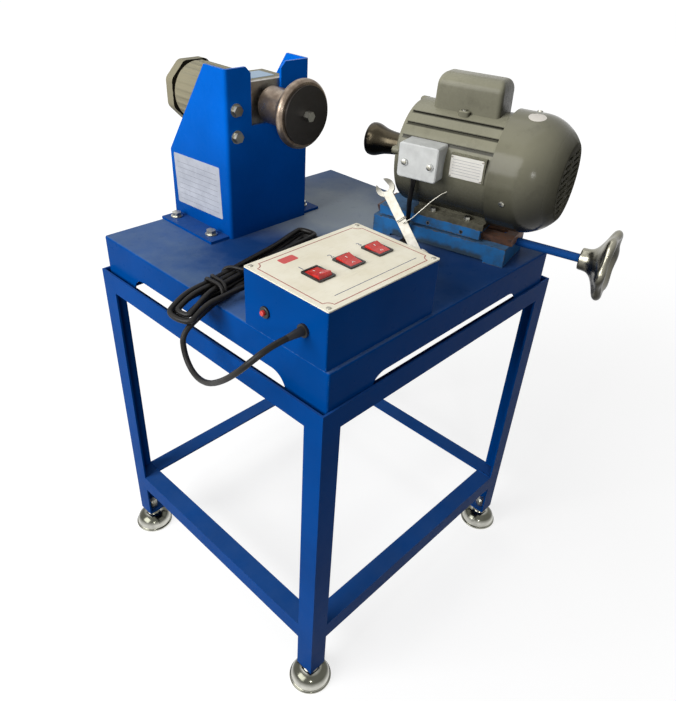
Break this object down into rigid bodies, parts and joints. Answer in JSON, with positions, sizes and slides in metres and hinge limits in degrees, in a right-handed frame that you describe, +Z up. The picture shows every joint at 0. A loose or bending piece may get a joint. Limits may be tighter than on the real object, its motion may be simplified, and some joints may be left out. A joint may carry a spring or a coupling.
{
  "type": "knife grinding machine",
  "caption": "Bench-height blade grinder: slow blade headstock and grinding motor on a skewed hand-screw dovetail slide, over a sheet pan on an angle-iron stand.",
  "frame": {"origin": "on the floor under the middle of the four-legged stand", "axes": "+X to the operator's right, +Y away from the operator towards the headstock, +Z up"},
  "size_m": [0.5868, 0.6413, 0.839],
  "materials": {
    "blue_paint": "gloss",
    "slide_blue": "worn satin",
    "chrome": "polished",
    "zinc": "zinc plated",
    "steel": "ground",
    "rusty_steel": "oiled and browned",
    "bronze": "machined",
    "panel_cream": "satin",
    "switch_black": "gloss",
    "switch_red": "gloss",
    "cord_black": "matt",
    "gear_beige": "satin",
    "flange_brown": "turned and browned",
    "clamp_black": "blackened",
    "motor_grey": "gloss",
    "stator_iron": "laminated",
    "fan_plastic": "moulded",
    "arbor_black": "gloss",
    "terminal_grey": "moulded",
    "spanner_steel": "pressed and plated"
  },
  "bodies": {
    "stand": {"top_ring": "blue_paint", "leg_front_left": "blue_paint", "leg_front_right": "blue_paint", "leg_back_left": "blue_paint", "leg_back_right": "blue_paint", "lower_rail_front": "blue_paint", "lower_rail_back": "blue_paint", "lower_rail_left": "blue_paint", "lower_rail_right": "blue_paint", "foot_front_left": "chrome", "foot_front_right": "chrome", "foot_back_left": "chrome", "foot_back_right": "chrome", "foot_studs": "zinc", "pan": "blue_paint", "control_box": "blue_paint", "control_panel": "panel_cream", "rocker_housings": "switch_black", "reset_housing": "switch_black", "cord_gland": "cord_black", "power_cord": "cord_black", "cord_hank": "cord_black", "mains_plug": "cord_black", "headstock_bracket": "blue_paint", "bracket_bolts": "zinc", "carrier_plate": "steel", "carrier_bolts": "zinc", "gearbox": "gear_beige", "gear_motor": "gear_beige", "gear_motor_cover": "gear_beige", "slide_base": "slide_blue", "dovetail_bar": "rusty_steel"},
    "saddle": {"saddle": "slide_blue", "saddle_gib": "steel", "gib_screws": "zinc", "lead_nut": "bronze", "motor_frame": "motor_grey", "motor_foot_bolts": "zinc", "stator": "stator_iron", "drive_end_bell": "motor_grey", "fan_cover": "motor_grey", "rotor_bearings": "steel", "capacitor_housing": "motor_grey", "terminal_box": "terminal_grey", "terminal_lid": "terminal_grey", "spanner": "spanner_steel", "motor_lead": "cord_black"},
    "rotor": {"rotor_shaft": "steel", "cooling_fan": "fan_plastic", "arbor": "arbor_black"},
    "feed_screw": {"lead_screw": "blue_paint", "handwheel": "chrome"},
    "blade_head": {"blade_spindle": "steel", "blade_flange": "flange_brown", "clamp_disc": "clamp_black", "flange_screw": "zinc"},
    "rocker_left": {"rocker_left": "switch_red"},
    "rocker_middle": {"rocker_middle": "switch_red"},
    "rocker_right": {"rocker_right": "switch_red"},
    "reset_button": {"reset_button": "switch_red"}
  },
  "joints": [
    {"name": "saddle_slide", "type": "slide", "parent": "stand", "child": "saddle", "axis": [-0.2164, 0.9763, 0], "range_m": [-0.036, 0.012], "deforming": ["motor_lead"]},
    {"name": "handwheel_turn", "type": "hinge", "parent": "stand", "child": "feed_screw", "pos_m": [0.14094, -0.10387, 0.6275], "axis": [-0.2164, 0.9763, 0], "range_deg": [-3242, 1082]},
    {"name": "grinder_spin", "type": "hinge", "parent": "saddle", "child": "rotor", "pos_m": [0.14213, -0.10924, 0.726], "axis": [-0.2164, 0.9763, 0], "continuous": true},
    {"name": "blade_spin", "type": "hinge", "parent": "stand", "child": "blade_head", "pos_m": [-0.032, 0.1, 0.7815], "axis": [0, 1, 0], "continuous": true},
    {"name": "rocker_left_tip", "type": "hinge", "parent": "stand", "child": "rocker_left", "pos_m": [-0.1908, -0.16, 0.672], "axis": [1, 0, 0], "range_deg": [0, 22]},
    {"name": "rocker_middle_tip", "type": "hinge", "parent": "stand", "child": "rocker_middle", "pos_m": [-0.1413, -0.16, 0.672], "axis": [1, 0, 0], "range_deg": [-22, 0]},
    {"name": "rocker_right_tip", "type": "hinge", "parent": "stand", "child": "rocker_right", "pos_m": [-0.0918, -0.16, 0.672], "axis": [1, 0, 0], "range_deg": [-22, 0]},
    {"name": "reset_press", "type": "slide", "parent": "stand", "child": "reset_button", "axis": [1, 0, 0], "range_m": [0, 0.0025], "stiffness_N_per_m": 300, "springref_m": -0.002}
  ],
  "couplings": [
    {"joint": "handwheel_turn", "follows": "saddle_slide", "rad_per_m": 1570.8}
  ]
}
